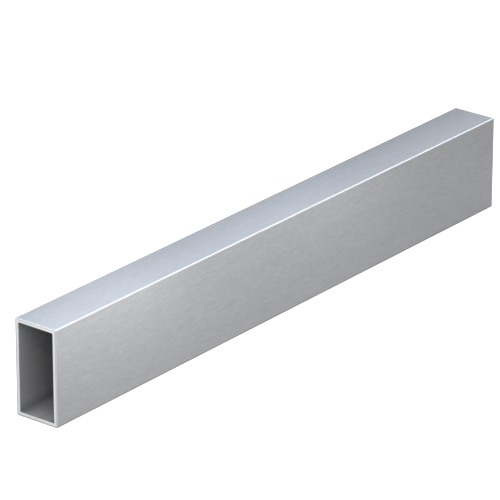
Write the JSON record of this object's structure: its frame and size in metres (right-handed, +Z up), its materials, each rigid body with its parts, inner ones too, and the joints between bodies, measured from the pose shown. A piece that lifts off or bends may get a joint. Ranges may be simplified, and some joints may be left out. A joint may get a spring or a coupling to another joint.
{
  "type": "aluminium post",
  "caption": "Straight hollow rectangular aluminium post with thin even walls, small corner radii and a brushed finish, open and sawn square at both ends.",
  "frame": {"origin": "centre of the narrow face that the post rests on, halfway along its length", "axes": "+X along the post, +Y across its narrow side from one wide face to the other, +Z up, across its wide side"},
  "size_m": [0.7, 0.05, 0.1],
  "materials": {
    "brushed_aluminium": "brushed along its length, bare, unpainted"
  },
  "bodies": {
    "root": {"post_tube": "brushed_aluminium"}
  },
  "joints": []
}
